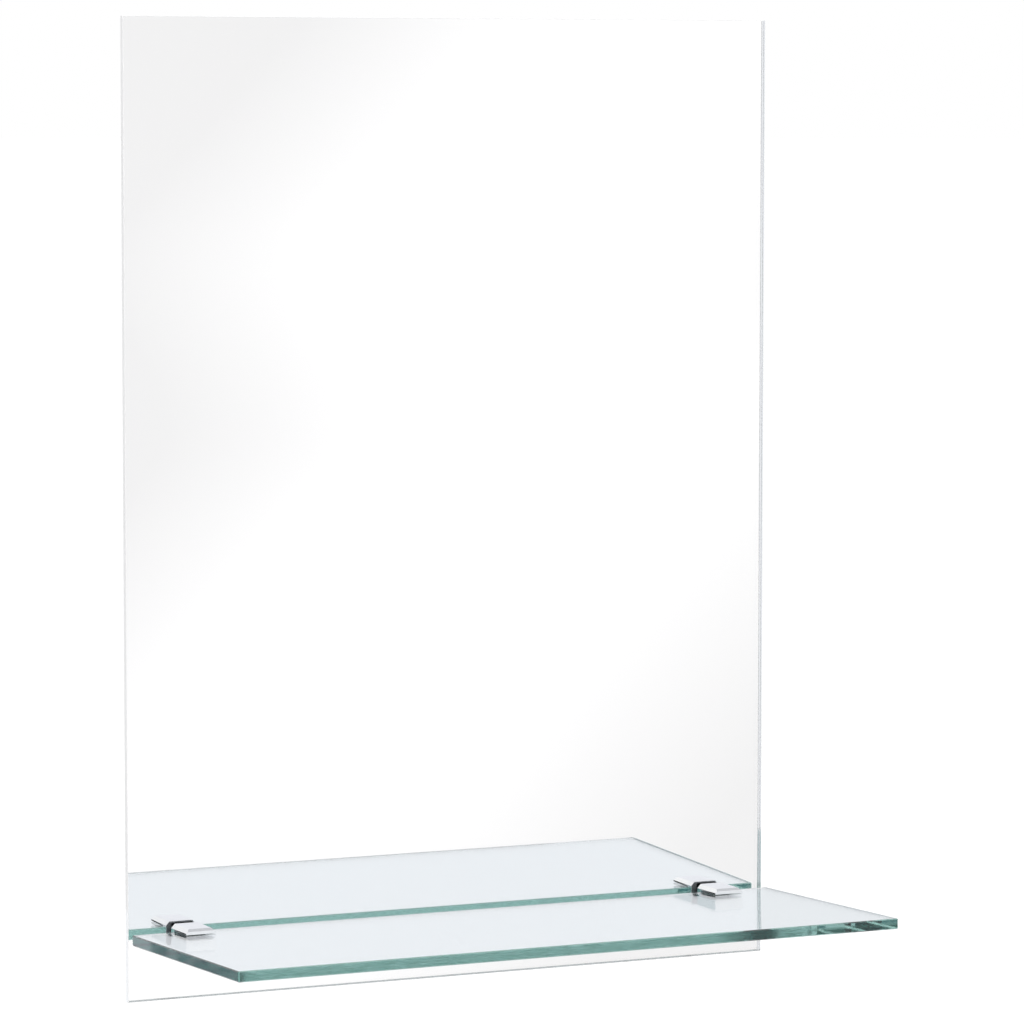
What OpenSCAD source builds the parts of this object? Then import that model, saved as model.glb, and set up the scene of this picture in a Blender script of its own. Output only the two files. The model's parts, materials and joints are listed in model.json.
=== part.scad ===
// Frameless wall mirror with a glass shelf held by two screw clips.
// Millimetres. X runs to the right seen from the front, -Y points out into the room, +Z is up.
// The wall is the plane Y = 0 and the origin lies midway between the two keyholes.

/* [Mirror] */
// Width of the mirror
mirror_w = 400; // [300:5:600]
// Height of the mirror
mirror_h = 550; // [400:5:900]
// Thickness of the mirror glass
mirror_t = 4; // [3:0.5:6]
// Ground bevel along the edges of the mirror
mirror_arris = 0.3; // [0.2:0.1:1]
// Thickness of the silvered and painted backing
backing_t = 0.2; // [0.1:0.05:0.5]
// Gap between the wall and the back of the mirror
wall_gap = 6; // [5.5:0.1:9]

/* [Shelf] */
// How far the shelf stops short of each side of the mirror
shelf_side_margin = 0; // [0:0.5:10]
// Depth of the shelf from its back edge to its front edge
shelf_d = 158.5; // [100:0.5:200]
// Thickness of the shelf glass
shelf_t = 6; // [4:0.5:8]
// Ground bevel along the edges of the shelf
shelf_arris = 0.6; // [0.2:0.1:1]
// Radius of the shelf's four upright corners
shelf_corner_r = 1; // [1:0.5:8]
// Upward slope of the shelf towards its front edge, in degrees
shelf_tilt = 2; // [0:0.5:4]
// Gap between the mirror's face and the back edge of the shelf
shelf_gap = 6.4; // [6:0.1:12]
// Height of the shelf's top above the bottom edge of the mirror, at the back edge
shelf_height = 39.3; // [30:0.1:120]

/* [Clips] */
// Distance from each end of the shelf to the middle of its clip
clip_inset = 34.2; // [15:0.1:100]
// Width of a clip
clip_w = 18; // [16:0.5:24]
// Depth of a clip from its back to its front edge
clip_d = 23.3; // [20:0.1:28]
// Thickness of the upper jaw over its pad, at the front
upper_jaw_t = 2.3; // [2.2:0.1:5]
// Thickness of the lip along the upper jaw's front edge, which hides the pad
front_lip_t = 0.7; // [0.4:0.1:2]
// Thickness of the lower jaw at its front edge
lower_jaw_t = 8; // [7:0.5:12]
// Width of the bevel along the top's front edge
front_bevel_w = 2.5; // [1:0.1:3]
// Height of the bevel along the top's front edge
front_bevel_h = 1.1; // [0.5:0.1:2]
// Width of the bevels along the top's side edges
side_bevel_w = 2.1; // [1:0.1:3]
// Height of the bevels along the top's side edges
side_bevel_h = 2.3; // [0.5:0.1:2.3]
// Bevel round the bottom of the clip
bottom_bevel = 1.2; // [0.4:0.1:2]
// Thickness of the gasket between clip and mirror
gasket_t = 1.5; // [0.5:0.1:2]
// How far the gasket stops short of the clip's top
gasket_margin = 0.6; // [0.2:0.1:2]
// Width of the gasket at its top
gasket_w = 13; // [10:0.5:14]
// Width of the gasket at its foot
gasket_foot_w = 5; // [4:0.5:12]
// How far the gasket reaches below the fixing screw's axis
gasket_drop = 5; // [4:0.1:6]

/* [Pads and clamp screws] */
// Thickness of the pad under the upper jaw
upper_pad_t = 0.8; // [0.4:0.1:2]
// How far the upper pad stops short of the jaw's sides, of its lip and of the slot's end
upper_pad_margin = 0.3; // [0.2:0.1:4]
// Radius of the pressure pad under the shelf
pressure_pad_r = 5; // [3.5:0.1:6]
// Thickness of the pressure pad
pressure_pad_t = 1.5; // [1.3:0.1:3]
// Gap between the underside of the shelf and the lower jaw
lower_gap = 1.6; // [1:0.1:3]
// Distance the pressure pad can be wound back
pad_travel = 1.6; // [0.8:0.1:2.4]
// Distance from the slot's end to the clamp screw's axis
clamp_offset = 8; // [7:0.5:9]
// Radius of the clamp screw
clamp_screw_r = 2.5; // [2:0.1:3]
// How deep the clamp screw's end lies inside the bottom of the clip
clamp_screw_recess = 0.5; // [0.2:0.1:1]
// Width across the flats of the clamp screw's hexagon socket
hex_key = 2.5; // [2:0.5:3]
// Depth of the hexagon socket
hex_depth = 2.5; // [1.5:0.1:3]
// Radius of the pin on the clamp screw that turns in the pressure pad
pin_r = 1.5; // [1:0.1:1.8]
// Length of that pin inside the pressure pad
pin_len = 0.8; // [0.5:0.1:1]

/* [Rear fixing of the clips] */
// Radius of the holes drilled in the mirror
glass_hole_r = 4.5; // [3.5:0.1:5.5]
// Radius of the fixing screw
fixing_r = 2; // [1.5:0.1:2.5]
// Length of the fixing screw's grip in the clip
fixing_grip = 3.2; // [2.5:0.1:4]
// Radius of the fixing screw's head
head_r = 4; // [3.5:0.1:5]
// Height of the fixing screw's head
head_t = 2.2; // [1.5:0.1:2.5]
// Radius of the steel washer
steel_washer_r = 6; // [5:0.1:8]
// Thickness of the steel washer
steel_washer_t = 1; // [0.5:0.1:1.2]
// Radius of the rubber washer
rubber_washer_r = 8; // [6:0.1:10]
// Thickness of the rubber washer
rubber_washer_t = 1.5; // [0.8:0.1:1.6]

/* [Wall hangers] */
// Distance from each side of the mirror to the middle of its hanger
hanger_inset = 70; // [40:1:100]
// Distance from the top of the mirror down to the keyholes
hanger_drop = 70; // [40:1:150]
// Height of a hanger plate
hanger_h = 44; // [34:1:60]
// Width of the raised bridge of a hanger
bridge_w = 28; // [22:1:40]
// Width of each glued flange of a hanger
flange_w = 15; // [10:1:25]
// Thickness of the hanger's sheet steel
hanger_t = 1.2; // [0.8:0.1:1.5]
// Radius of the hanger's corners
hanger_corner_r = 3; // [1:0.5:5]
// Radius of the keyhole's round entry
keyhole_r = 4.5; // [4:0.1:6]
// Half width of the keyhole's slot
keyhole_slot_r = 2.25; // [1.5:0.05:2.6]
// Distance the mirror drops onto its screws
keyhole_drop = 9; // [7:0.5:12]
// Thickness of the foam tape under the flanges
tape_t = 1; // [0.5:0.1:1.5]
// How far the tape stops short of the flange's edges
tape_margin = 1; // [0.5:0.1:2]
// Radius of the wall bumpers
bumper_r = 9; // [6:0.5:11]
// Distance from the sides of the mirror to the middle of a bumper
bumper_inset = 16; // [12:1:20]
// Height of the bumpers above the bottom edge of the mirror
bumper_height = 16; // [12:1:20]

/* [Fits] */
// Radial clearance of screws in their threaded holes
thread_clearance = 0.05; // [0.03:0.01:0.1]
// Radial clearance of screws and sleeves in plain holes
hole_clearance = 0.2; // [0.1:0.05:0.4]
// Gap between the shelf and what clamps or stops it
glass_clearance = 0.2; // [0.1:0.05:0.3]
// Gap between the shelf and the lip of the upper jaw
lip_clearance = 0.3; // [0.2:0.05:0.5]
// Gap between the pressure pad and the screw's shoulder
pin_clearance = 0.1; // [0.05:0.05:0.2]
// Clearance round the pressure pad in its pocket
pocket_clearance = 0.4; // [0.2:0.1:0.8]

/* [Hidden] */
$fn = 64;
LEFT = -1;
RIGHT = 1;
// Overshoot that lets a cut pass cleanly through a face
cut = 1;

// The mirror's planes and edges
mirror_top = hanger_drop;
mirror_bottom = mirror_top - mirror_h;
backing_rear = -wall_gap;
glass_rear = backing_rear - backing_t;
mirror_face = glass_rear - mirror_t;

// The shelf, whose own frame starts at the middle of its top back edge
shelf_w = mirror_w - 2 * shelf_side_margin;
shelf_back = mirror_face - shelf_gap;
shelf_top = mirror_bottom + shelf_height;

// The clips: the slot is cut parallel to the shelf, the outside is square to the mirror
clip_x = shelf_w / 2 - clip_inset;
clip_back = mirror_face - gasket_t;
clip_front = clip_back - clip_d;
upper_gap = upper_pad_t + glass_clearance;
jaw_reach = shelf_back - clip_front;
recess_reach = jaw_reach - front_lip_t;
shelf_top_at_tip = shelf_top + jaw_reach * tan(shelf_tilt);
clip_top = shelf_top_at_tip + upper_gap + upper_jaw_t;
clip_bottom = shelf_top_at_tip - shelf_t - lower_gap - lower_jaw_t;
fixing_z = (clip_top + clip_bottom) / 2;
gasket_rise = clip_top - gasket_margin - fixing_z;

// Heights in the shelf's own frame, measured down from its top
pad_top = -shelf_t - glass_clearance;
pad_bottom = pad_top - pressure_pad_t;
lower_jaw_top = -shelf_t - lower_gap;
pocket_floor = pad_bottom - pad_travel - pocket_clearance;
pocket_r = pressure_pad_r + pocket_clearance;
shoulder = pad_bottom - pin_clearance;
clamp_y = -clamp_offset;
clip_bottom_at_screw = (clip_bottom - shelf_top) / cos(shelf_tilt) - clamp_offset * tan(shelf_tilt);
lower_jaw_h = pocket_floor - clip_bottom_at_screw;
clamp_screw_end = clip_bottom_at_screw + clamp_screw_recess;
hex_r = hex_key / 2 / cos(30);

// The stack behind the mirror, from the backing out to the screw head
rubber_rear = backing_rear + rubber_washer_t;
steel_rear = rubber_rear + steel_washer_t;
shank_end = clip_back - fixing_grip;
shank_hole_r = fixing_r + hole_clearance;
tip_clearance = 0.5;
recess_w = 1.1;
recess_l = 4.4;
recess_depth = 1.4;

// The hangers
hanger_x = mirror_w / 2 - hanger_inset;
flange_front = backing_rear + tape_t;
flange_rear = flange_front + hanger_t;
hanger_w = bridge_w + 2 * flange_w;
flange_inner = bridge_w / 2;
bumper_x = mirror_w / 2 - bumper_inset;
bumper_dome = 1.5;

// A flat slab with bevels along the edges of both large faces, standing in the XZ plane
module bevelled_pane(w, h, t, bevel) {
    intersection() {
        linear_extrude(h)
            bevelled_strip(w, t, bevel);
        translate([-w / 2 - cut, 0, h / 2])
            rotate([0, 90, 0])
                linear_extrude(w + 2 * cut)
                    bevelled_strip(h, t, bevel);
    }
}

// The cross-section of such a slab: w wide, centred on X, from Y = 0 to Y = -t
module bevelled_strip(w, t, bevel) {
    half = w / 2;
    polygon([
        [-half + bevel, 0], [half - bevel, 0],
        [half, -bevel], [half, -t + bevel],
        [half - bevel, -t], [-half + bevel, -t],
        [-half, -t + bevel], [-half, -bevel]
    ]);
}

// A rectangle with round corners, centred on the origin
module round_rect(w, h, r) {
    square([w - 2 * r, h], center = true);
    square([w, h - 2 * r], center = true);
    for (sx = [-1, 1], sy = [-1, 1])
        translate([sx * (w / 2 - r), sy * (h / 2 - r)])
            circle(r);
}

// A cylinder along Y from y0 to y1
module rod_y(r, y0, y1) {
    translate([0, max(y0, y1), 0])
        rotate([90, 0, 0])
            cylinder(r = r, h = abs(y1 - y0));
}

// A plain ring along Y from y0 to y1
module ring_y(outer_r, inner_r, y0, y1) {
    difference() {
        rod_y(outer_r, y0, y1);
        rod_y(inner_r, min(y0, y1) - cut, max(y0, y1) + cut);
    }
}

// Places its children in the shelf's own frame: Y along the glass, Z square to it
module on_shelf() {
    translate([0, shelf_back, shelf_top])
        rotate([-shelf_tilt, 0, 0])
            children();
}

// Places its children at one clip's middle
module at_clip(side) {
    translate([side * clip_x, 0, 0])
        children();
}

// Places its children on one clip's fixing axis
module at_fixing(side) {
    translate([side * clip_x, 0, fixing_z])
        children();
}

// Places its children on one clip's clamp screw axis, in the shelf's own frame
module at_clamp(side) {
    at_clip(side)
        on_shelf()
            translate([0, clamp_y, 0])
                children();
}

module mirror_glass() {
    color([0.86, 0.93, 0.91])
        difference() {
            translate([0, glass_rear, mirror_bottom])
                bevelled_pane(mirror_w, mirror_h, mirror_t, mirror_arris);
            clip_holes();
        }
}

// The two holes drilled through the pane and its backing
module clip_holes() {
    for (side = [LEFT, RIGHT])
        at_fixing(side)
            rod_y(glass_hole_r, mirror_face - cut, backing_rear + cut);
}

module silver_backing() {
    color([0.94, 0.95, 0.96])
        difference() {
            translate([mirror_arris - mirror_w / 2, glass_rear, mirror_bottom + mirror_arris])
                cube([mirror_w - 2 * mirror_arris, backing_t, mirror_h - 2 * mirror_arris]);
            clip_holes();
        }
}

module glass_shelf() {
    color([0.80, 0.90, 0.88])
        on_shelf()
            intersection() {
                translate([0, -shelf_d / 2, -shelf_t])
                    linear_extrude(shelf_t)
                        round_rect(shelf_w, shelf_d, shelf_corner_r);
                rotate([90, 0, 0])
                    linear_extrude(shelf_d)
                        bevelled_strip(shelf_w, shelf_t, shelf_arris);
                translate([-shelf_w / 2 - cut, -shelf_d / 2, 0])
                    rotate([90, 0, 90])
                        linear_extrude(shelf_w + 2 * cut)
                            bevelled_strip(shelf_d, shelf_t, shelf_arris);
            }
}

// The clip's outside: square to the mirror, bevelled round the top and the bottom
module clip_block() {
    intersection() {
        translate([-clip_w / 2, 0, 0])
            rotate([90, 0, 90])
                linear_extrude(clip_w)
                    polygon([
                        [clip_back, clip_bottom],
                        [clip_back, clip_top],
                        [clip_front + front_bevel_w, clip_top],
                        [clip_front, clip_top - front_bevel_h],
                        [clip_front, clip_bottom + bottom_bevel],
                        [clip_front + bottom_bevel, clip_bottom]
                    ]);
        translate([0, clip_back, 0])
            rotate([90, 0, 0])
                linear_extrude(clip_d)
                    polygon([
                        [-clip_w / 2 + side_bevel_w, clip_top],
                        [clip_w / 2 - side_bevel_w, clip_top],
                        [clip_w / 2, clip_top - side_bevel_h],
                        [clip_w / 2, clip_bottom + bottom_bevel],
                        [clip_w / 2 - bottom_bevel, clip_bottom],
                        [-clip_w / 2 + bottom_bevel, clip_bottom],
                        [-clip_w / 2, clip_bottom + bottom_bevel],
                        [-clip_w / 2, clip_top - side_bevel_h]
                    ]);
    }
}

module clip_body(side) {
    color([0.85, 0.86, 0.88])
        difference() {
            at_clip(side)
                clip_block();
            // Slot for the shelf, and above it the recess for the upper pad
            at_clip(side)
                on_shelf() {
                    translate([-clip_w / 2 - cut, -clip_d, lower_jaw_top])
                        cube([clip_w + 2 * cut, clip_d + glass_clearance, lip_clearance - lower_jaw_top]);
                    translate([-clip_w / 2 - cut, -recess_reach, lower_jaw_top])
                        cube([clip_w + 2 * cut, recess_reach + glass_clearance, upper_gap - lower_jaw_top]);
                }
            // Pocket for the pressure pad
            at_clamp(side)
                translate([0, 0, pocket_floor])
                    cylinder(r = pocket_r, h = lower_jaw_top - pocket_floor + cut);
            // Threaded hole for the clamp screw
            at_clamp(side)
                translate([0, 0, clip_bottom_at_screw - cut])
                    cylinder(r = clamp_screw_r + thread_clearance, h = lower_jaw_h + 2 * cut);
            // Threaded blind hole for the fixing screw
            at_fixing(side)
                rod_y(fixing_r + thread_clearance, shank_end - tip_clearance, clip_back + cut);
        }
}

module clip_gasket(side) {
    color([0.16, 0.17, 0.18])
        at_fixing(side)
            difference() {
                translate([0, mirror_face, 0])
                    rotate([90, 0, 0])
                        linear_extrude(gasket_t)
                            polygon([
                                [-gasket_w / 2, gasket_rise], [gasket_w / 2, gasket_rise],
                                [gasket_foot_w / 2, -gasket_drop], [-gasket_foot_w / 2, -gasket_drop]
                            ]);
                rod_y(shank_hole_r, clip_back - cut, mirror_face + cut);
            }
}

module hole_sleeve(side) {
    color([0.90, 0.90, 0.88])
        at_fixing(side)
            ring_y(glass_hole_r - hole_clearance, shank_hole_r, mirror_face, backing_rear);
}

module rubber_washer(side) {
    color([0.10, 0.10, 0.11])
        at_fixing(side)
            ring_y(rubber_washer_r, shank_hole_r, backing_rear, rubber_rear);
}

module steel_washer(side) {
    color([0.75, 0.76, 0.78])
        at_fixing(side)
            ring_y(steel_washer_r, shank_hole_r, rubber_rear, steel_rear);
}

module fixing_screw(side) {
    color([0.78, 0.78, 0.80])
        at_fixing(side)
            difference() {
                union() {
                    rod_y(fixing_r, shank_end, steel_rear + head_t / 2);
                    rod_y(head_r, steel_rear, steel_rear + head_t);
                }
                translate([0, steel_rear + head_t, 0])
                    cross_recess();
            }
}

// The cross in the head of a fixing screw
module cross_recess() {
    for (turn = [0, 90])
        rotate([0, turn, 0])
            cube([recess_l, 2 * recess_depth, recess_w], center = true);
}

module upper_jaw_pad(side) {
    pad_w = clip_w - 2 * upper_pad_margin;
    pad_d = recess_reach - 2 * upper_pad_margin;
    color([0.12, 0.12, 0.13])
        at_clip(side)
            on_shelf()
                translate([-pad_w / 2, -upper_pad_margin - pad_d, glass_clearance])
                    cube([pad_w, pad_d, upper_pad_t]);
}

module pressure_pad(side) {
    color([0.88, 0.89, 0.90])
        at_clamp(side)
            difference() {
                translate([0, 0, pad_bottom])
                    cylinder(r = pressure_pad_r, h = pressure_pad_t);
                translate([0, 0, pad_bottom - cut])
                    cylinder(r = pin_r + thread_clearance, h = cut + pin_len);
            }
}

module clamp_screw(side) {
    color([0.70, 0.71, 0.73])
        at_clamp(side)
            difference() {
                union() {
                    translate([0, 0, clamp_screw_end])
                        cylinder(r = clamp_screw_r, h = shoulder - clamp_screw_end);
                    translate([0, 0, shoulder - cut])
                        cylinder(r = pin_r, h = cut + pin_len);
                }
                translate([0, 0, clamp_screw_end - cut])
                    cylinder(r = hex_r, h = cut + hex_depth, $fn = 6);
            }
}

// The hanger's cross-section seen from above: two glued flanges and a raised bridge
module hanger_section() {
    translate([-bridge_w / 2, -hanger_t])
        square([bridge_w, hanger_t]);
    for (flip = [0, 1])
        mirror([flip, 0]) {
            translate([flange_inner - hanger_t, flange_front])
                square([hanger_t, -flange_front]);
            translate([flange_inner - hanger_t, flange_front])
                square([flange_w + hanger_t, hanger_t]);
        }
}

module hanger_plate(side) {
    color([0.72, 0.73, 0.75])
        translate([side * hanger_x, 0, 0])
            difference() {
                intersection() {
                    translate([0, 0, -hanger_h / 2])
                        linear_extrude(hanger_h)
                            hanger_section();
                    translate([0, cut, 0])
                        rotate([90, 0, 0])
                            linear_extrude(wall_gap + 2 * cut)
                                round_rect(hanger_w, hanger_h, hanger_corner_r);
                }
                keyhole();
            }
}

// The round entry at the origin and the slot that runs up from it
module keyhole() {
    rod_y(keyhole_r, -hanger_t - cut, cut);
    translate([0, 0, keyhole_drop])
        rod_y(keyhole_slot_r, -hanger_t - cut, cut);
    translate([-keyhole_slot_r, -hanger_t - cut, 0])
        cube([2 * keyhole_slot_r, hanger_t + 2 * cut, keyhole_drop]);
}

module hanger_tape(side) {
    strip_w = flange_w - 2 * tape_margin;
    strip_h = hanger_h - 2 * hanger_corner_r;
    color([0.93, 0.93, 0.90])
        translate([side * hanger_x, 0, 0])
            for (flip = [-1, 1])
                translate([flip * (flange_inner + flange_w / 2), backing_rear + tape_t / 2, 0])
                    cube([strip_w, tape_t, strip_h], center = true);
}

module wall_bumper(side) {
    color([0.80, 0.82, 0.83])
        translate([side * bumper_x, 0, mirror_bottom + bumper_height])
            rotate([90, 0, 0])
                rotate_extrude()
                    polygon([
                        [0, 0], [bumper_r - bumper_dome, 0],
                        [bumper_r, bumper_dome], [bumper_r, wall_gap], [0, wall_gap]
                    ]);
}

mirror_glass();
silver_backing();
hanger_plate(LEFT);  // hanger_plate_left
hanger_plate(RIGHT);  // hanger_plate_right
hanger_tape(LEFT);  // hanger_tape_left
hanger_tape(RIGHT);  // hanger_tape_right
wall_bumper(LEFT);  // wall_bumper_left
wall_bumper(RIGHT);  // wall_bumper_right
glass_shelf();
clip_body(LEFT);  // clip_body_left
clip_body(RIGHT);  // clip_body_right
clip_gasket(LEFT);  // clip_gasket_left
clip_gasket(RIGHT);  // clip_gasket_right
hole_sleeve(LEFT);  // hole_sleeve_left
hole_sleeve(RIGHT);  // hole_sleeve_right
rubber_washer(LEFT);  // rubber_washer_left
rubber_washer(RIGHT);  // rubber_washer_right
steel_washer(LEFT);  // steel_washer_left
steel_washer(RIGHT);  // steel_washer_right
fixing_screw(LEFT);  // fixing_screw_left
fixing_screw(RIGHT);  // fixing_screw_right
upper_jaw_pad(LEFT);  // upper_jaw_pad_left
upper_jaw_pad(RIGHT);  // upper_jaw_pad_right
pressure_pad(LEFT);  // pressure_pad_left
pressure_pad(RIGHT);  // pressure_pad_right
clamp_screw(LEFT);  // clamp_screw_left
clamp_screw(RIGHT);  // clamp_screw_right
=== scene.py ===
"""Looks of the mirror with shelf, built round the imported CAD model. Metres, in the model's own frame."""

import json
import math

import bmesh
import bpy
from mathutils import Matrix, Vector

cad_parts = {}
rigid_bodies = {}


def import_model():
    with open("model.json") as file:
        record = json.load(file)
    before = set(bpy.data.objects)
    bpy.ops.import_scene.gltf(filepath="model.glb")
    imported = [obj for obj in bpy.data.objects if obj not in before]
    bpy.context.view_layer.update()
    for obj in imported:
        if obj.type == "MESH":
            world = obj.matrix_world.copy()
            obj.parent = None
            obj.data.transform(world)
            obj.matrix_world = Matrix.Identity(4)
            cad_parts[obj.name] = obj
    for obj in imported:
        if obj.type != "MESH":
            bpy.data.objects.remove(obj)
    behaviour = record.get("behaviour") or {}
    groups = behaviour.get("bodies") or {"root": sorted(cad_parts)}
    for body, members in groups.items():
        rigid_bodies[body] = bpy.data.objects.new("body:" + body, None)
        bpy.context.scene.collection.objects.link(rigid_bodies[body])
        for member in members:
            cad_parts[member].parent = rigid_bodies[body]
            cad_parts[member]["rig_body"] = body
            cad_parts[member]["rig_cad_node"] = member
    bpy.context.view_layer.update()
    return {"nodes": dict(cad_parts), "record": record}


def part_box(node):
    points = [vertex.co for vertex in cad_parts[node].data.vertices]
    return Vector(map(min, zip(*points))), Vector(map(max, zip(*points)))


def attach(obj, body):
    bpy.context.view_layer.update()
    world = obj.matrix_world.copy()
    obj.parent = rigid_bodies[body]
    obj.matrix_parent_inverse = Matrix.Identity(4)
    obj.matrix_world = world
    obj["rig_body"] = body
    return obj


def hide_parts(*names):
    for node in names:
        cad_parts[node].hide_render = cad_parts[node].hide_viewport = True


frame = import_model()
NODES = frame["nodes"]
MM = 0.001
SIDES = ("left", "right")

glass_lo, glass_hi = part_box("mirror_glass")
shelf_lo, shelf_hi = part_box("glass_shelf")


# ---------------------------------------------------------------- node graphs
class Graph:
    """The node graph of one material or world. An input given as a socket is linked, and any other is set."""

    def __init__(self, owner):
        owner.use_nodes = True
        self.owner = owner
        self.tree = owner.node_tree
        self.tree.nodes.clear()

    def add(self, kind, inputs=None, **settings):
        n = self.tree.nodes.new("ShaderNode" + kind)
        for key, value in settings.items():
            setattr(n, key, value)
        for key, value in (inputs or {}).items():
            self.fill(n.inputs[key], value)
        return n

    def fill(self, socket, value):
        if isinstance(value, bpy.types.NodeSocket):
            self.tree.links.new(value, socket)
        else:
            socket.default_value = value

    def math(self, operation, a, b=0.0, c=0.0):
        return self.add("Math", {0: a, 1: b, 2: c}, operation=operation).outputs[0]

    def at_most(self, value, count):
        """1 where a whole number is at most count."""
        return self.math("LESS_THAN", value, count + 0.5)

    def more_than(self, value, count):
        """1 where a whole number is more than count."""
        return self.math("GREATER_THAN", value, count + 0.5)

    def dot(self, a, b):
        return self.add("VectorMath", {0: a, 1: b}, operation="DOT_PRODUCT").outputs["Value"]

    def spread(self, value, low, high, to_low=0.0, to_high=1.0, smooth=False):
        """value mapped from low..high to to_low..to_high, and held at the ends."""
        kind = "SMOOTHSTEP" if smooth else "LINEAR"
        sockets = {"Value": value, "From Min": low, "From Max": high, "To Min": to_low, "To Max": to_high}
        return self.add("MapRange", sockets, interpolation_type=kind, clamp=True).outputs["Result"]

    def mix(self, factor, a, b):
        n = self.add("Mix", data_type="RGBA")
        for identifier, value in (("Factor_Float", factor), ("A_Color", a), ("B_Color", b)):
            self.fill(next(i for i in n.inputs if i.identifier == identifier), value)
        return next(o for o in n.outputs if o.identifier == "Result_Color")

    def noise(self, scale, detail=4.0, roughness=0.5, stretch=None, distortion=0.0):
        """Noise of about scale cells to the metre; a small number in stretch draws it out along that axis."""
        place = self.add("TexCoord").outputs["Object"]
        if stretch:
            place = self.add("Mapping", {"Vector": place, "Scale": stretch}).outputs["Vector"]
        sockets = {"Vector": place, "Scale": scale, "Detail": detail, "Roughness": roughness}
        return self.add("TexNoise", {**sockets, "Distortion": distortion}).outputs["Fac"]

    def bump(self, height, distance, strength=1.0):
        sockets = {"Height": height, "Distance": distance, "Strength": strength}
        return self.add("Bump", sockets).outputs["Normal"]

    def part_of(self, vector, axis):
        return self.add("SeparateXYZ", {0: vector}).outputs[axis]

    def shade(self, factor, a, b):
        return self.add("MixShader", {0: factor, 1: a, 2: b}).outputs[0]

    def glow(self, colour, strength=1.0):
        return self.add("Emission", {"Color": colour, "Strength": strength}).outputs[0]

    def shown_where(self, cover, shader):
        """shader where cover is 1, and clear where it is 0."""
        return self.shade(cover, self.add("BsdfTransparent").outputs[0], shader)

    def principled(self, **sockets):
        names = {key.replace("_", " "): value for key, value in sockets.items()}
        return self.add("BsdfPrincipled", names).outputs["BSDF"]

    def surface(self, shader, volume=None):
        kind = "OutputWorld" if isinstance(self.owner, bpy.types.World) else "OutputMaterial"
        self.add(kind, {"Surface": shader} if volume is None else {"Surface": shader, "Volume": volume})
        return self.owner


def material(name):
    return Graph(bpy.data.materials.new(name))


def rgb(red, green, blue):
    return (red, green, blue, 1.0)


def grey(value):
    return (value, value, value, 1.0)


# ---------------------------------------------------------------- materials
# The stretch of a noise's values that a material uses: most of them, and fewer for more contrast
SOFT = (0.3, 0.7)
CRISP = (0.35, 0.65)

GLASS_IOR = 1.52
GLASS_SHADOW = grey(0.93)  # the light that a shadow keeps
# How squarely a face looks along an axis, from 0 to 1. An arris lies between an edge and a large face.
EDGE_BELOW = 0.3
FACE_ABOVE = 0.95
END_ABOVE = 0.9
POLISHED_MARKS = 0.12  # what is left of the wheel marks where the edge is polished


def glass(name, faces, tint, density, roughness, frost, wheel_marks, polished_end=None):
    """Float glass: clear large faces, ground edges and arrises, and a body that colours what crosses it.
    faces is the axis that the large faces look along. roughness, and frost, which is how much light is
    scattered white, are each given for the arris and for the edge; from within the glass there is no frost.
    The wheel marks thin out on the end faces, and over the stretch of X named by polished_end."""
    g = material(name)
    normal = g.add("SeparateXYZ", {0: g.add("NewGeometry").outputs["True Normal"]})
    level = g.math("ABSOLUTE", normal.outputs[faces])
    edge = g.math("LESS_THAN", level, EDGE_BELOW)
    arris = g.math("SUBTRACT", g.math("LESS_THAN", level, FACE_ABOVE), edge)
    grain = g.spread(g.noise(2500.0, 3.0), *SOFT, 0.7, 1.0)
    rough = g.math("ADD", g.math("MULTIPLY", arris, roughness[0]), g.math("MULTIPLY", edge, roughness[1]))
    white = g.math("ADD", g.math("MULTIPLY", arris, frost[0]), g.math("MULTIPLY", edge, frost[1]))
    within = g.add("NewGeometry").outputs["Backfacing"]
    ground = g.math("MULTIPLY", white, g.spread(within, 0.0, 1.0, 1.0, 0.0))
    # The wheel leaves fine lines, along the shelf's edges and across the pane's
    drawn_out = (1.0, 0.01, 0.01) if faces == "Y" else (0.01, 0.01, 1.0)
    lines = g.math("MULTIPLY", g.noise(4000.0, 2.0, 0.5, drawn_out), edge)
    if polished_end:
        end_face = g.math("GREATER_THAN", g.math("ABSOLUTE", normal.outputs["X"]), END_ABOVE)
        x = g.part_of(g.add("TexCoord").outputs["Object"], "X")
        polish = g.math("MAXIMUM", end_face, g.spread(x, *polished_end, smooth=True))
        lines = g.math("MULTIPLY", lines, g.spread(polish, 0.0, 1.0, 1.0, POLISHED_MARKS))
    body = g.principled(
        Base_Color=g.mix(grain, rgb(0.97, 0.98, 0.98), grey(1.0)),
        Roughness=g.math("MULTIPLY", rough, grain),
        IOR=GLASS_IOR,
        Transmission_Weight=g.math("SUBTRACT", 1.0, ground),
        Normal=g.bump(lines, wheel_marks),
    )
    through = g.add("BsdfTransparent", {"Color": GLASS_SHADOW}).outputs[0]
    shader = g.shade(g.add("LightPath").outputs["Is Shadow Ray"], body, through)
    volume = g.add("VolumeAbsorption", {"Color": tint, "Density": density}).outputs[0]
    return g.surface(shader, volume)


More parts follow.
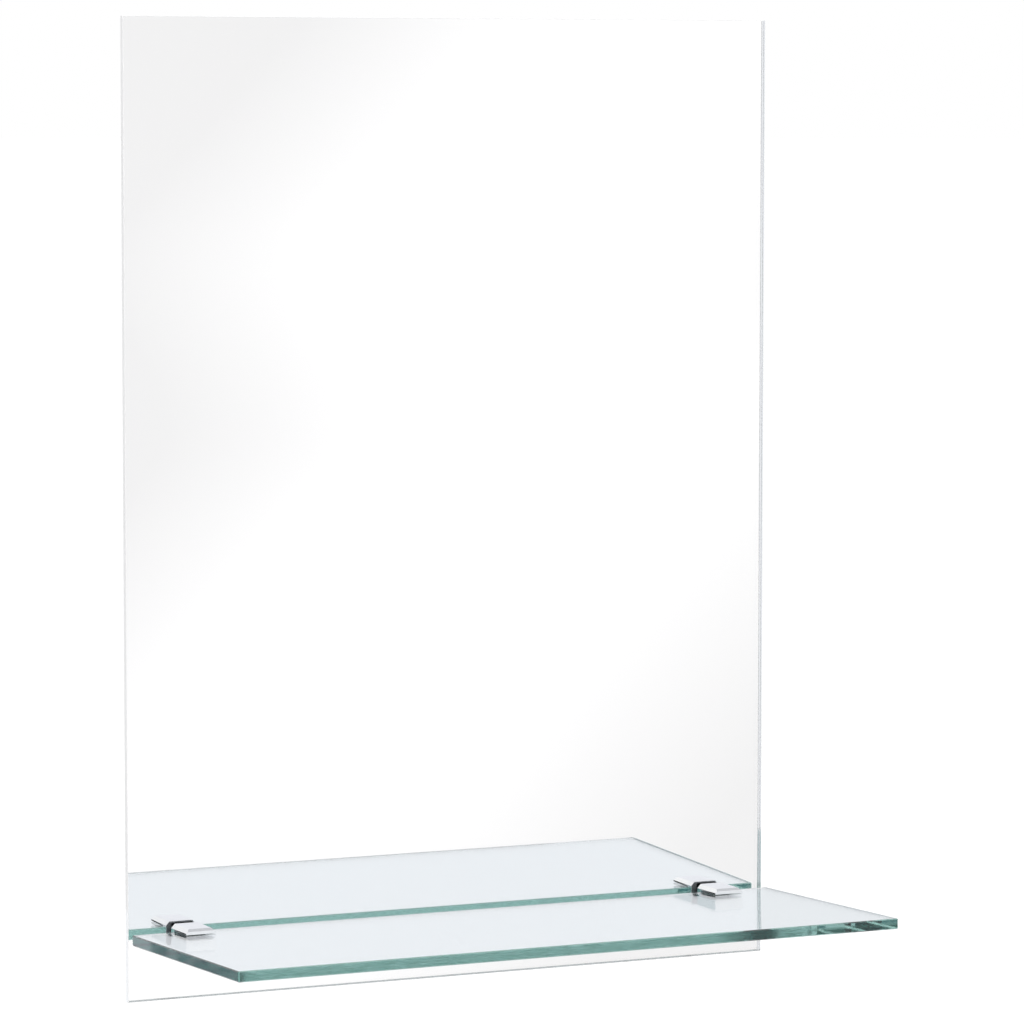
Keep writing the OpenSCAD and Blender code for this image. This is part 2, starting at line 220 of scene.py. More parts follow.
def silvering():
    """Silver on the side that touches the glass, grey protective paint on the back."""
    g = material("silvering")
    front = g.math("LESS_THAN", g.part_of(g.add("NewGeometry").outputs["True Normal"], "Y"), -0.5)
    tone = g.spread(g.noise(3.0, 2.0), *SOFT)
    silver = g.principled(
        Base_Color=g.mix(tone, rgb(0.950, 0.952, 0.950), rgb(0.962, 0.964, 0.962)),
        Metallic=1.0,
        Roughness=0.0,
    )
    # Curtain-coated paint: faint vertical streaks, a little mottling and a fine orange peel
    streaks = g.noise(60.0, 4.0, 0.6, (1.0, 1.0, 0.04))
    mottle = g.noise(35.0, 5.0, 0.6)
    shade = g.math("ADD", g.math("MULTIPLY", streaks, 0.6), g.math("MULTIPLY", mottle, 0.4))
    paint = g.principled(
        Base_Color=g.mix(g.spread(shade, *CRISP), rgb(0.20, 0.215, 0.225), rgb(0.255, 0.27, 0.28)),
        Roughness=g.spread(mottle, *SOFT, 0.42, 0.55),
        Normal=g.bump(g.noise(900.0, 3.0, 0.6), 0.05 * MM, 0.35),
    )
    return g.surface(g.shade(front, paint, silver))


def chrome():
    """Bright chrome plating over a die casting, with faint polishing lines."""
    g = material("chrome")
    lines = g.noise(1400.0, 3.0, 0.5, (1.0, 0.06, 0.06))
    cloud = g.noise(160.0, 4.0, 0.55)
    haze = g.math("ADD", g.spread(cloud, *SOFT, 0.035, 0.07), g.spread(lines, *CRISP, 0.0, 0.03))
    wave = g.math("ADD", g.noise(220.0, 2.0), g.math("MULTIPLY", lines, 0.15))
    return g.surface(
        g.principled(
            Base_Color=g.mix(g.spread(cloud, *SOFT), rgb(0.845, 0.855, 0.875), rgb(0.885, 0.89, 0.90)),
            Metallic=1.0,
            Roughness=haze,
            Normal=g.bump(wave, 0.02 * MM, 0.25),
        )
    )


def rubber(name, dark, light, roughness):
    """Matt moulded rubber with a fine grain."""
    g = material(name)
    cloud = g.noise(300.0, 5.0, 0.6)
    grain = g.noise(3500.0, 3.0, 0.6)
    return g.surface(
        g.principled(
            Base_Color=g.mix(g.spread(cloud, *SOFT), dark, light),
            Roughness=g.spread(grain, *SOFT, roughness - 0.08, roughness + 0.08),
            Normal=g.bump(grain, 0.03 * MM, 0.4),
        )
    )


def plastic(name, dark, light, roughness, inside):
    """Moulded plastic or clear rubber; inside is the share of light scattered under its skin."""
    g = material(name)
    cloud = g.noise(180.0, 4.0, 0.55)
    return g.surface(
        g.principled(
            Base_Color=g.mix(g.spread(cloud, *SOFT), dark, light),
            Roughness=g.spread(g.noise(1500.0, 3.0), *SOFT, roughness - 0.05, roughness + 0.05),
            Subsurface_Weight=inside,
            Subsurface_Radius=(MM, MM, MM),
            Normal=g.bump(g.noise(1200.0, 3.0), 0.02 * MM, 0.25),
        )
    )


def zinc(name, dark, light, roughness, stretch=None):
    """Mottled zinc plating over steel, its rolling marks drawn out along the axis with the small number."""
    g = material(name)
    spangle = g.noise(240.0, 6.0, 0.65, distortion=0.6)
    rolled = g.noise(900.0, 4.0, 0.6, stretch)
    shade = g.math("ADD", g.math("MULTIPLY", spangle, 0.6), g.math("MULTIPLY", rolled, 0.4))
    return g.surface(
        g.principled(
            Base_Color=g.mix(g.spread(shade, *CRISP), dark, light),
            Metallic=1.0,
            Roughness=g.spread(shade, *CRISP, roughness + 0.08, roughness - 0.06),
            Normal=g.bump(rolled, 0.03 * MM, 0.3),
        )
    )


def painted_shade_and_plating():
    """Painted shade deep in the clip's slot: a dark teal metal in place of the shade there. Below the shelf's
    underside it is plated.
    """
    g = material("painted_shade_and_plating")
    cloud = g.noise(240.0, 6.0, 0.65, distortion=0.6)
    # painted shade: this dark teal stands in for the shade deep in the slot
    painted_shade_colour = g.mix(g.spread(cloud, *CRISP), rgb(0.05, 0.175, 0.215), rgb(0.09, 0.26, 0.30))
    plated = g.mix(g.spread(cloud, *CRISP), rgb(0.52, 0.54, 0.56), rgb(0.64, 0.66, 0.68))
    height = g.part_of(g.add("TexCoord").outputs["Object"], "Z")
    under = shelf_lo.z
    plating = g.spread(height, under - 0.4 * MM, under + 0.2 * MM, 1.0, 0.0, smooth=True)
    return g.surface(
        g.principled(
            Base_Color=g.mix(plating, painted_shade_colour, plated),
            Metallic=1.0,
            Roughness=g.spread(cloud, *CRISP, 0.53, 0.39),
            Normal=g.bump(g.noise(900.0, 4.0, 0.6), 0.03 * MM, 0.3),
        )
    )


def foam():
    """White foam tape with open cells along its cut edges."""
    g = material("foam_tape")
    place = g.add("TexCoord").outputs["Object"]
    cells = g.add("TexVoronoi", {"Vector": place, "Scale": 1800.0}).outputs["Distance"]
    # Darker towards each cell's middle: painted shade in the open cells
    colour = g.mix(g.spread(cells, 0.0, 0.6), rgb(0.62, 0.62, 0.60), rgb(0.84, 0.84, 0.82))
    return g.surface(g.principled(Base_Color=colour, Roughness=0.9, Normal=g.bump(cells, 0.1 * MM, 0.6)))


LOOKS = {
    "clear_glass": glass(
        "clear_glass",
        faces="Y",
        tint=rgb(0.55, 0.82, 0.76),
        density=0.8,
        roughness=(0.45, 0.06),
        frost=(0.9, 0.9),
        wheel_marks=0.003 * MM,
    ),
    "shelf_glass": glass(
        "shelf_glass",
        faces="Z",
        tint=rgb(0.13, 0.532, 0.463),
        density=8.5,
        roughness=(0.12, 0.02),
        frost=(0.08, 0.0),
        wheel_marks=0.05 * MM,
        polished_end=(0.125, 0.15),
    ),
    "silvering": silvering(),
    "chrome": chrome(),
    "black_rubber": rubber("black_rubber", rgb(0.040, 0.050, 0.056), rgb(0.068, 0.082, 0.090), 0.55),
    "pad_rubber": rubber("pad_rubber", rgb(0.26, 0.29, 0.30), rgb(0.33, 0.36, 0.37), 0.6),
    "bumper_rubber": plastic("bumper_rubber", rgb(0.56, 0.58, 0.58), rgb(0.66, 0.68, 0.68), 0.32, 0.3),
    "white_plastic": plastic("white_plastic", rgb(0.70, 0.70, 0.68), rgb(0.78, 0.78, 0.76), 0.38, 0.15),
    "zinc_steel": zinc("zinc_steel", rgb(0.52, 0.53, 0.55), rgb(0.74, 0.75, 0.78), 0.34, (0.05, 1.0, 1.0)),
    "screw_steel": zinc("screw_steel", rgb(0.56, 0.57, 0.60), rgb(0.76, 0.77, 0.80), 0.28, (1.0, 0.1, 1.0)),
    "foam_tape": foam(),
    "painted_shade_and_plating": painted_shade_and_plating(),
    "satin_back": zinc("satin_back", rgb(0.44, 0.47, 0.50), rgb(0.58, 0.61, 0.64), 0.5),
}
SLOT_OF = {part["node"]: part["material_slot"] for part in frame["record"]["subparts"]}


# ---------------------------------------------------------------- shapes taken from CAD nodes
WELD = 1e-7  # vertices closer than this are one
FLAT_WITHIN = math.radians(0.5)  # faces that turn less than this are one flat face
SOFTEN_FROM = math.radians(32)  # edges that turn more than this are rounded off
BEVEL_SEGMENTS = 3


def linked(name, data):
    obj = bpy.data.objects.new(name, data)
    bpy.context.scene.collection.objects.link(obj)
    return obj


def corners_of(node):
    obj = NODES[node]
    return [obj.matrix_world @ v.co for v in obj.data.vertices]


def finish_piece(obj, slot):
    obj.data.materials.clear()
    obj.data.materials.append(LOOKS[slot])
    return obj


def stand_in(obj, node):
    """obj rides where a CAD node does and is shown in its place."""
    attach(obj, NODES[node]["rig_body"])
    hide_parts(node)
    return obj


def copied(node, name):
    """A new object with a CAD node's mesh, its doubled vertices welded and its flat faces made whole."""
    mesh = NODES[node].data.copy()
    bm = bmesh.new()
    bm.from_mesh(mesh)
    bmesh.ops.remove_doubles(bm, verts=bm.verts, dist=WELD)
    bmesh.ops.dissolve_limit(bm, angle_limit=FLAT_WITHIN, verts=bm.verts, edges=bm.edges)
    bm.to_mesh(mesh)
    bm.free()
    return linked(name, mesh)


def silver_coat():
    """The silvering, set a hair into the pane so that silver and glass touch."""
    coat = copied("silver_backing", "silver_coat")
    front = glass_hi.y
    for v in coat.data.vertices:
        if abs(v.co.y - front) < 0.05 * MM:
            v.co.y = front - 0.01 * MM
    return finish_piece(stand_in(coat, "silver_backing"), "silvering")


def softened(node, name, radius, slot):
    """A CAD node's shape with its sharp edges rounded off."""
    piece = copied(node, name)
    bevel = piece.modifiers.new("edges", "BEVEL")
    bevel.width = radius
    bevel.segments = BEVEL_SEGMENTS
    bevel.limit_method = "ANGLE"
    bevel.angle_limit = SOFTEN_FROM
    bevel.use_clamp_overlap = True
    bevel.harden_normals = True
    for p in piece.data.polygons:
        p.use_smooth = True
    piece.data.set_sharp_from_angle(angle=SOFTEN_FROM)
    return finish_piece(stand_in(piece, node), slot)


SOFTENED = (  # CAD node, name of the piece, radius of its rounded edges, slot
    ("clip_body", "clip_casting", 0.25 * MM, "chrome"),
    ("hanger_plate", "hanger_pressing", 0.3 * MM, "zinc_steel"),
    ("steel_washer", "washer", 0.15 * MM, "zinc_steel"),
    ("rubber_washer", "seal", 0.3 * MM, "black_rubber"),
    ("pressure_pad", "pad_disc", 0.2 * MM, "white_plastic"),
    ("upper_jaw_pad", "jaw_pad", 0.3 * MM, "black_rubber"),
)

# Where a face of the clip's slot has its middle: further than this behind the clip's front and above its
# foot, and no further than this behind the shelf's back edge, below its top and above the upper jaw's pad
CLIP_FRONT = 0.9 * MM
CLIP_FOOT = 2.0 * MM
SLOT_REACH = 0.8 * MM
SLOT_DEPTH = 20.0 * MM
SLOT_ROOF = 0.4 * MM


def shade_slot_and_back(side):
    """The level faces and the end of a clip's slot take the painted shade of the dark teal metal, and the
    clip's back is ground flat."""
    casting = bpy.data.objects[f"clip_casting_{side}"]
    painted_shade_index, ground = 1, 2
    casting.data.materials.append(LOOKS["painted_shade_and_plating"])
    casting.data.materials.append(LOOKS["satin_back"])
    lo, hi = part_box(f"clip_body_{side}")
    front, end = lo.y + CLIP_FRONT, shelf_hi.y + SLOT_REACH
    bottom = max(shelf_hi.z - SLOT_DEPTH, lo.z + CLIP_FOOT)
    roof = max(corner.z for corner in corners_of(f"upper_jaw_pad_{side}")) + SLOT_ROOF
    for face in casting.data.polygons:
        normal, middle = face.normal, face.center
        inside = front < middle.y < end and bottom < middle.z < roof
        square = abs(normal.x) < 0.1 and (abs(normal.z) > 0.9 or normal.y < -0.9)
        # the slot's level faces and its end take the painted shade
        if inside and square:
            face.material_index = painted_shade_index
        elif normal.y > 0.9 and middle.y > hi.y - 0.1 * MM:
            face.material_index = ground


def grey_jaw_pad(side):
    """The upper jaw's pad is a greyer rubber than the gasket, as its edge shows beside the clip."""
    bpy.data.objects[f"jaw_pad_{side}"].data.materials[0] = LOOKS["pad_rubber"]


# ---------------------------------------------------------------- turned pieces, in millimetres
SHARP_TURN = math.radians(35)
INSIDE = 0.01  # how far a cut or a domed form stays inside the CAD's plain one

FIXING_R, FIXING_PITCH, FIXING_DEPTH = 2.0, 0.7, 0.4
HEAD_R, HEAD_H = 4.0, 2.2
CROWN_R, CROWN_H, CROWN_RINGS = 3.5, 0.75, 28

# The cross recess: half the width of its arms and how far they reach, and its depth, at the screw's axis and
# with what each loses over a millimetre outwards. Its walls slope over the last two.
CROSS_HALF_WIDTH, CROSS_TAPER, CROSS_REACH = 0.55, 0.12, 2.15
CROSS_DEPTH, CROSS_RISE = 1.35, 0.42
CROSS_SIDE_SLOPE, CROSS_END_SLOPE = 0.12, 0.2

CLAMP_R, CLAMP_PITCH, CLAMP_DEPTH = 2.5, 0.8, 0.45
PIN_R, PIN_H = 1.49, 0.8
SOCKET_FLATS, SOCKET_DEPTH = 2.5, 2.5


def lathe(name, foot, axis, rows, segments=64):
    """A turned body. Each row is a function of the angle that gives (radius, height) in millimetres. The
    first and the last row lie on the axis."""
    axis = Vector(axis).normalized()
    across = axis.orthogonal().normalized()
    other = axis.cross(across)
    points, faces = [], []
    for index, row in enumerate(rows):
        on_axis = index in (0, len(rows) - 1)
        for i in range(1 if on_axis else segments):
            angle = 2 * math.pi * i / segments
            radius, height = row(angle)
            way = across * math.cos(angle) + other * math.sin(angle)
            points.append(Vector(foot) + axis * (height * MM) + way * (radius * MM))
    last_point = len(points) - 1
    last_ring = len(rows) - 2

    def at(ring, i):
        return 1 + (ring - 1) * segments + i % segments

    for i in range(segments):
        faces.append((0, at(1, i + 1), at(1, i)))
        for ring in range(1, last_ring):
            faces.append((at(ring, i), at(ring, i + 1), at(ring + 1, i + 1), at(ring + 1, i)))
        faces.append((last_point, at(last_ring, i), at(last_ring, i + 1)))
    mesh = bpy.data.meshes.new(name)
    mesh.from_pydata([tuple(p) for p in points], [], faces)
    for p in mesh.polygons:
        p.use_smooth = True
    mesh.set_sharp_from_angle(angle=SHARP_TURN)
    return linked(name, mesh)


def circle_row(radius, height):
    return lambda angle: (radius, height)


def circle_rows(profile, start=0.0):
    """Plain rings from pairs of radius and height, the heights counted from start."""
    return [circle_row(radius, start + height) for radius, height in profile]


def hexagon_row(across_flats, height):
    def row(angle):
        turn = angle % (math.pi / 3) - math.pi / 6
        return across_flats / 2 / math.cos(turn), height
    return row


def thread_rows(low, high, crest, pitch, depth):
    """Rows of a right-handed thread between two heights, run out to its root at both ends."""
    steps = math.ceil((high - low) / (pitch / 6))
    rows = []
    for step in range(steps + 1):
        height = low + (high - low) * step / steps
        fade = min(1, (height - low) / pitch, (high - height) / pitch)

        def row(angle, height=height, fade=fade):
            phase = (height / pitch - angle / (2 * math.pi)) % 1
            flank = 1 - abs(2 * phase - 1)
            tooth = min(1, max(0, (flank - 0.15) / 0.65))
            return crest - depth * (1 - tooth * fade), height

        rows.append(row)
    return rows


def cross_row(radius, top):
    """A ring of the crowned head, sunk where the tapered cross recess lies."""
    def row(angle):
        x, y = abs(radius * math.cos(angle)), abs(radius * math.sin(angle))
        height = top - CROWN_H * (radius / HEAD_R) ** 2
        reach, off = max(x, y), min(x, y)
        half_width = CROSS_HALF_WIDTH - CROSS_TAPER * reach
        between_sides = min(1, max(0, (half_width - off) / CROSS_SIDE_SLOPE))
        before_end = min(1, max(0, (CROSS_REACH - reach) / CROSS_END_SLOPE))
        return radius, height - between_sides * before_end * (CROSS_DEPTH - CROSS_RISE * reach)
    return row


def fixing_screw(side):
    """Pan-headed machine screw with a cross recess, its thread in the clip and its head behind the mirror."""
    node = f"fixing_screw_{side}"
    lo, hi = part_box(node)
    length = (hi.y - lo.y) / MM
    shank = length - HEAD_H
    top = length - INSIDE
    rows = circle_rows([(0, 0), (1.25, 0), (1.6, 0.35)])
    rows += thread_rows(0.4, shank - 0.3, FIXING_R - INSIDE, FIXING_PITCH, FIXING_DEPTH)
    rows += circle_rows([(1.9, 0), (3.85, 0), (3.97, 0.12), (3.99, 0.8), (3.9, 1.25), (3.7, 1.55)], shank)
    rows += [cross_row(CROWN_R - CROWN_R / CROWN_RINGS * i, top) for i in range(CROWN_RINGS)]
    rows += [cross_row(0, top)]
    foot = ((lo.x + hi.x) / 2, lo.y, (lo.z + hi.z) / 2)
    screw = lathe(f"pan_screw_{side}", foot, (0, 1, 0), rows)
    return finish_piece(stand_in(screw, node), "screw_steel")


def clamp_screw(side):
    """Socket set screw with its hexagon at the foot and a plain pin at the top."""
    node = f"clamp_screw_{side}"
    joint = next(j for j in frame["record"]["behaviour"]["joints"] if j["name"] == f"screw_{side}_turn")
    up_axis = -Vector(joint["axis"]).normalized()
    origin = Vector(joint["pos_m"])
    heights = [(corner - origin).dot(up_axis) for corner in corners_of(node)]
    foot = origin + up_axis * min(heights)
    length = (max(heights) - min(heights)) / MM
    shoulder = length - PIN_H
    rows = circle_rows([(0, SOCKET_DEPTH + 0.3)])
    rows += [hexagon_row(SOCKET_FLATS, SOCKET_DEPTH), hexagon_row(SOCKET_FLATS, 0.3)]
    rows += circle_rows([(1.62, 0.0), (1.9, 0.0), (2.05, 0.3)])
    rows += thread_rows(0.35, shoulder - 0.35, CLAMP_R - INSIDE, CLAMP_PITCH, CLAMP_DEPTH)
    rows += circle_rows([(2.0, 0), (PIN_R, INSIDE)], shoulder)
    rows += circle_rows([(PIN_R, -0.15), (1.35, 0), (0, 0)], length)
    screw = lathe(f"set_screw_{side}", foot, up_axis, rows)
    return finish_piece(stand_in(screw, node), "screw_steel")


def bumper(side):
    """Clear rubber foot, domed where it meets the wall."""
    node = f"wall_bumper_{side}"
    lo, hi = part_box(node)
    thick = (hi.y - lo.y) / MM
    r = (hi.x - lo.x) / 2 / MM
    dome = [(r - 3.5, 0), (r - 2.4, 0.12), (r - 1.5, 0.5), (r - 0.8, 1.05), (r - 0.3, 1.75), (r - 0.05, 2.6)]
    rim = [(r - INSIDE, 3.4), (r - INSIDE, thick - 0.2), (r - 0.15, thick)]
    rows = circle_rows([(0, 0), *dome, *rim, (0, thick)])
    foot = ((lo.x + hi.x) / 2, hi.y, (lo.z + hi.z) / 2)
    rubber_foot = lathe(f"rubber_foot_{side}", foot, (0, -1, 0), rows)
    return finish_piece(stand_in(rubber_foot, node), "bumper_rubber")


for cad_node, cad_object in NODES.items():
    finish_piece(cad_object, SLOT_OF[cad_node])
silver_coat()
for side in SIDES:
    for node, name, radius, slot in SOFTENED:
        softened(f"{node}_{side}", f"{name}_{side}", radius, slot)
    shade_slot_and_back(side)
    grey_jaw_pad(side)
    fixing_screw(side)
    clamp_screw(side)
    bumper(side)


# ---------------------------------------------------------------- camera
FOCAL_PX = 4940.2
IMAGE_PX = 1024
SENSOR_MM = 36
YAW = math.radians(25.069)
PITCH = math.radians(-4.910)
ROLL = math.radians(0.048)
EYE = Vector((-1.16299, -2.57497, 0.03065))


def add_camera():
    camera = linked("camera", bpy.data.cameras.new("camera"))
    camera.data.sensor_width = SENSOR_MM
    camera.data.lens = SENSOR_MM * FOCAL_PX / IMAGE_PX
    camera.data.clip_start = 0.05
    camera.data.clip_end = 200
    camera.location = EYE
    tilt = Matrix.Rotation(math.pi / 2 + PITCH, 3, "X") @ Matrix.Rotation(ROLL, 3, "Z")
    camera.rotation_euler = (Matrix.Rotation(-YAW, 3, "Z") @ tilt).to_euler()
    bpy.context.scene.camera = camera


# ---------------------------------------------------------------- studio
ROOM_TINT = rgb(0.85, 0.865, 0.90)
HIGH_TINT = rgb(0.69, 0.70, 0.725)
WINDOW_TINT = rgb(1.08, 1.08, 1.08)
CARD_TINT = rgb(1.0, 0.992, 0.996)
DEEP_TINT = rgb(0.93, 0.94, 0.985)
FLAG_TINT = rgb(0.11, 0.27, 0.30)
SHADE_TINT = rgb(0.42, 0.50, 0.60)
GLEAM_TINT = rgb(1.7, 1.8, 1.95)

SOFT_LIGHT = 0.72  # from all round
# The room that mirrors and chrome meet, by the Z and the Y of the direction looked in
WINDOW_HEIGHT = (0.26, 0.38)
WINDOW_FRONT = (-0.75, -0.5)
CEILING_HEIGHT = (0.50, 0.68)

FLOOR_Z = -0.82
FLOOR_R = 80
FLOOR_PAPER = grey(0.88)
FLOOR_GLOW = 1.26
FLOOR_GLOW_SHARE = 0.62
FLOOR_FADE = (1.2, 5.0)  # how far off the reflected floor turns into the room

LAMP_AIM = (0, 0, -0.2)
LAMPS = (  # name, place, size, power
    ("key", (-1.1, -1.6, 2.0), 1.4, 28),
    ("fill", (1.8, -1.2, 1.2), 1.6, 12),
    ("back", (0.6, 1.9, 1.5), 1.6, 16),
)


def seen_by(g):
    """(camera ray, glossy or transmission ray) as sockets of 0 or 1."""
    path = g.add("LightPath")
    other = g.math("MAXIMUM", path.outputs["Is Glossy Ray"], path.outputs["Is Transmission Ray"])
    return path.outputs["Is Camera Ray"], other


def studio_world():
    """White behind the object and a soft light all round. Mirrors and chrome meet a pale room instead, with a
    bright window above eye level in front and a duller ceiling."""
    world = bpy.data.worlds.new("studio")
    bpy.context.scene.world = world
    g = Graph(world)
    on_camera, on_gloss = seen_by(g)
    light = g.add("Background", {"Color": grey(1.0), "Strength": SOFT_LIGHT}).outputs[0]
    way = g.add("SeparateXYZ", {0: g.add("TexCoord").outputs["Generated"]})
    above = g.spread(way.outputs["Z"], *WINDOW_HEIGHT, smooth=True)
    in_front = g.spread(way.outputs["Y"], *WINDOW_FRONT, 1.0, 0.0, smooth=True)
    window = g.math("MULTIPLY", above, in_front)
    high = g.spread(way.outputs["Z"], *CEILING_HEIGHT, smooth=True)
    colour = g.mix(high, g.mix(window, ROOM_TINT, WINDOW_TINT), HIGH_TINT)
    room = g.add("Background", {"Color": colour, "Strength": 1.0}).outputs[0]
    white = g.add("Background", {"Color": grey(1.0), "Strength": 1.0}).outputs[0]
    g.surface(g.shade(on_camera, g.shade(on_gloss, light, room), white))


def floor():
    """Pale floor, clear from below. Seen in the mirror it runs into the room without a horizon."""
    bpy.ops.mesh.primitive_circle_add(vertices=96, radius=FLOOR_R, fill_type="NGON", location=(0, 0, FLOOR_Z))
    obj = bpy.context.object
    obj.name = "floor"
    g = material("pale_floor")
    on_camera, on_gloss = seen_by(g)
    paper = g.add("BsdfDiffuse", {"Color": FLOOR_PAPER}).outputs[0]
    seen = g.shade(FLOOR_GLOW_SHARE, paper, g.glow(grey(1.0), FLOOR_GLOW))
    place = g.add("NewGeometry").outputs["Position"]
    away = g.add("VectorMath", {0: place}, operation="LENGTH").outputs["Value"]
    reflected = g.shade(g.spread(away, *FLOOR_FADE, 0.8, 1.0, smooth=True), paper, g.glow(ROOM_TINT))
    front = g.shade(on_camera, g.shade(on_gloss, paper, reflected), seen)
    back = g.add("NewGeometry").outputs["Backfacing"]
    clear = g.add("BsdfTransparent").outputs[0]
    obj.data.materials.append(g.surface(g.shade(back, front, clear)))


def lamp(name, place, size, power):
    data = bpy.data.lights.new(name, "AREA")
    data.shape = "SQUARE"
    data.size = size
    data.energy = power
    obj = linked(name, data)
    obj.location = place
    obj.rotation_euler = (Vector(LAMP_AIM) - Vector(place)).to_track_quat("-Z", "Y").to_euler()
    obj.visible_camera = False
    obj.visible_glossy = False
    obj.visible_transmission = False


def card(name, corners, build):
    """A flat card that only reflections and refractions meet."""
    mesh = bpy.data.meshes.new(name)
    mesh.from_pydata([tuple(c) for c in corners], [], [tuple(range(len(corners)))])
    obj = linked(name, mesh)
    obj.visible_camera = False
    obj.visible_diffuse = False
    obj.visible_shadow = False
    obj.visible_volume_scatter = False
    mesh.materials.append(build(material(name)))


def upright(left, right_end, y, low, high):
    """The corners of a card that stands across Y."""
    return [(left, y, low), (right_end, y, low), (right_end, y, high), (left, y, high)]


# The soft light and shade that the mirror shows: a card in front of it, seen along the camera's rays after
# they turn back at the silver. Its pattern is laid out in the photograph's own directions, in its pixels.
MIRROR_X_PX = (126.0, 762.0)  # from the mirror's left side to its right
MIRROR_Y_PX = (17.0, 1008.0)  # from its top to its foot
CENTRE_PX = IMAGE_PX / 2
SLANT = 0.87  # the bands run aslant: what counts is X plus this much of Y
RISE_PX = (315.0, 545.0)  # along the slant the light rises here
FALL_PX = (890.0, 1197.0)  # and falls here
STEP_PX = (220.0, 470.0)  # between these heights the bands move over
STEP_SHIFT_PX = 238.0
DIM, BRIGHT = 0.940, 1.10
FADE_PX = (10.0, 480.0)  # how far outside the mirror's outline the card fades away
CARD_MARGIN = 0.30
CARD_Y = -1.3

mirror_plane = glass_hi.y
eye_behind = Vector((EYE.x, 2 * mirror_plane - EYE.y, EYE.z))
forward = Vector((math.sin(YAW) * math.cos(PITCH), math.cos(YAW) * math.cos(PITCH), math.sin(PITCH)))
right = Vector((math.cos(YAW), -math.sin(YAW), 0))
up = right.cross(forward)


def turned_back(v):
    return Vector((v.x, -v.y, v.z))


def card_point(x, z):
    """Where the ray that turns back at (x, z) on the silver meets the card."""
    way = Vector((x, mirror_plane, z)) - eye_behind
    return eye_behind + way * ((CARD_Y - eye_behind.y) / way.y)


def past(g, value, low, high):
    """How far value lies outside low..high; below 0 inside."""
    return g.math("MAXIMUM", g.math("SUBTRACT", low, value), g.math("SUBTRACT", value, high))


def gradient_card():
    def build(g):
        place = g.add("NewGeometry").outputs["Position"]
        way = g.add("VectorMath", {0: place, 1: tuple(eye_behind)}, operation="SUBTRACT").outputs[0]
        depth = g.dot(way, tuple(turned_back(forward)))
        across = g.math("DIVIDE", g.dot(way, tuple(turned_back(right))), depth)
        down = g.math("DIVIDE", g.dot(way, tuple(-turned_back(up))), depth)
        x = g.math("MULTIPLY_ADD", across, FOCAL_PX, CENTRE_PX)
        y = g.math("MULTIPLY_ADD", down, FOCAL_PX, CENTRE_PX)
        slant = g.math("ADD", x, g.math("MULTIPLY", y, SLANT))
        shifted = g.math("SUBTRACT", slant, g.spread(y, *STEP_PX, 0.0, STEP_SHIFT_PX, smooth=True))
        level = g.math("MINIMUM", g.spread(shifted, *RISE_PX), g.spread(shifted, *FALL_PX, 1.0, 0.0))
        soft = g.glow(CARD_TINT, g.spread(level, 0.0, 1.0, DIM, BRIGHT))
        # Straight reflections show the card; those that go on through shelf or clips meet the cooler room
        path = g.add("LightPath")
        mirrored = g.at_most(path.outputs["Glossy Depth"], 1)
        plain = g.at_most(path.outputs["Transmission Depth"], 2)
        lit = g.shade(g.math("MULTIPLY", mirrored, plain), g.glow(DEEP_TINT), soft)
        # Beyond what the photograph's camera sees of it, the card fades away
        outside = g.math("MAXIMUM", past(g, x, *MIRROR_X_PX), past(g, y, *MIRROR_Y_PX))
        cover = g.spread(outside, *FADE_PX, 1.0, 0.0, smooth=True)
        return g.surface(g.shown_where(cover, lit))

    x0, x1 = glass_lo.x - CARD_MARGIN, glass_hi.x + CARD_MARGIN
    z0, z1 = glass_lo.z - CARD_MARGIN, glass_hi.z + CARD_MARGIN
    corners = [card_point(x0, z0), card_point(x1, z0), card_point(x1, z1), card_point(x0, z1)]
    card("gradient_card", corners, build)


FLAG_LEFT_FADE = (-0.76, -0.72)
FLAG_RIGHT_FADE = (-0.425, -0.41)


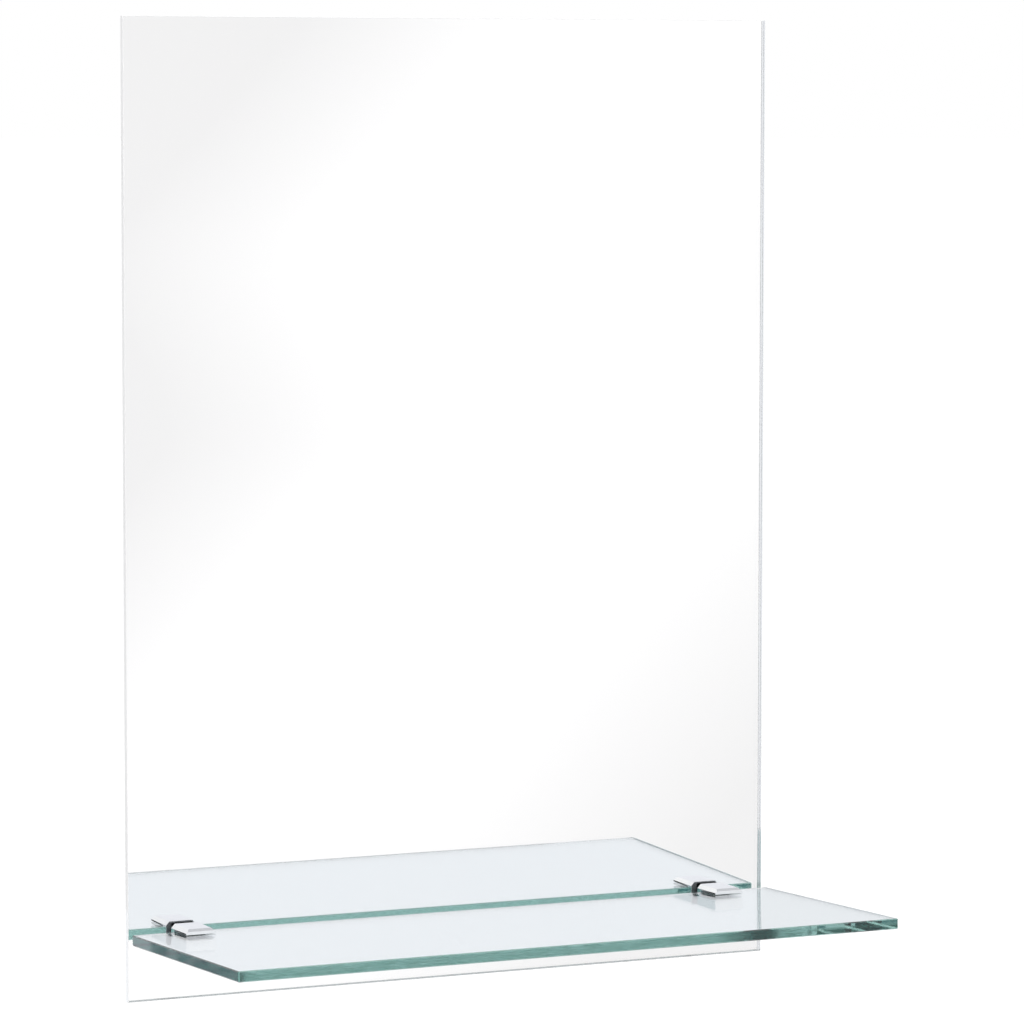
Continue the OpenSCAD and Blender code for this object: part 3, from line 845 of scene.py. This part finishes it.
def painted_shade_flag():
    """A dark flag beside the camera, met only by what has come through the shelf and turned back twice:
    painted shade in those reflections.
    """
    def build(g):
        path = g.add("LightPath")
        twice = g.more_than(path.outputs["Glossy Depth"], 1)
        through_shelf = g.more_than(path.outputs["Transmission Depth"], 2)
        x = g.part_of(g.add("NewGeometry").outputs["Position"], "X")
        from_left = g.spread(x, *FLAG_LEFT_FADE, smooth=True)
        to_right = g.spread(x, *FLAG_RIGHT_FADE, 1.0, 0.0, smooth=True)
        met = g.math("MULTIPLY", twice, through_shelf)
        cover = g.math("MULTIPLY", met, g.math("MULTIPLY", from_left, to_right))
        return g.surface(g.shown_where(cover, g.glow(FLAG_TINT)))

    card("painted_shade_flag", upright(-0.78, -0.40, -1.5, -0.80, -0.05), build)


GLEAM_X = -0.2690  # the middle of a narrow gleam
GLEAM_FADE = (0.0015, 0.005)  # how far from its middle it starts to fade and where it ends
GLEAM_LIGHT = 0.42
END_FADE = (-0.2585, -0.2535)  # over this stretch the card turns light, and stays so to its right end
END_LIGHT = 0.75
PATCHES = (0.40, 0.64)  # the noise's values over which dark turns into a light patch


def side_card():
    """Shade behind the mirror's left side, where the shelf's left end finds its reflection."""
    def build(g):
        place = g.add("NewGeometry").outputs["Position"]
        layered = g.add("Mapping", {"Vector": place, "Scale": (1.0, 1.0, 6.0)}).outputs["Vector"]
        cloud = g.add("TexNoise", {"Vector": layered, "Scale": 70.0, "Detail": 3.0, "Roughness": 0.6})
        patch = g.spread(cloud.outputs["Fac"], *PATCHES, 0.0, GLEAM_LIGHT, smooth=True)
        x = g.part_of(place, "X")
        off = g.math("ABSOLUTE", g.math("ADD", x, -GLEAM_X))
        gleam = g.spread(off, *GLEAM_FADE, GLEAM_LIGHT, 0.0, smooth=True)
        end = g.spread(x, *END_FADE, 0.0, END_LIGHT, smooth=True)
        light = g.math("MAXIMUM", patch, g.math("MAXIMUM", gleam, end))
        shown = g.glow(g.mix(light, SHADE_TINT, GLEAM_TINT))
        # Plain reflections alone meet it, so that nothing shows through the shelf
        path = g.add("LightPath")
        plain = g.at_most(path.outputs["Transmission Depth"], 0)
        cover = g.math("MULTIPLY", path.outputs["Is Glossy Ray"], plain)
        return g.surface(g.shown_where(cover, shown))

    # Its top is level with the shelf's lowest line, so that the shelf's upper face never mirrors it
    card("side_card", upright(-0.55, -0.21, 0.10, -0.75, -0.447), build)


add_camera()
studio_world()
floor()
gradient_card()
painted_shade_flag()
side_card()
for name, place, size, power in LAMPS:
    lamp(name, place, size, power)

scene = bpy.context.scene
scene.view_settings.view_transform = "Standard"
scene.cycles.max_bounces = 64
scene.cycles.glossy_bounces = 32
scene.cycles.transmission_bounces = 32
scene.cycles.transparent_max_bounces = 16
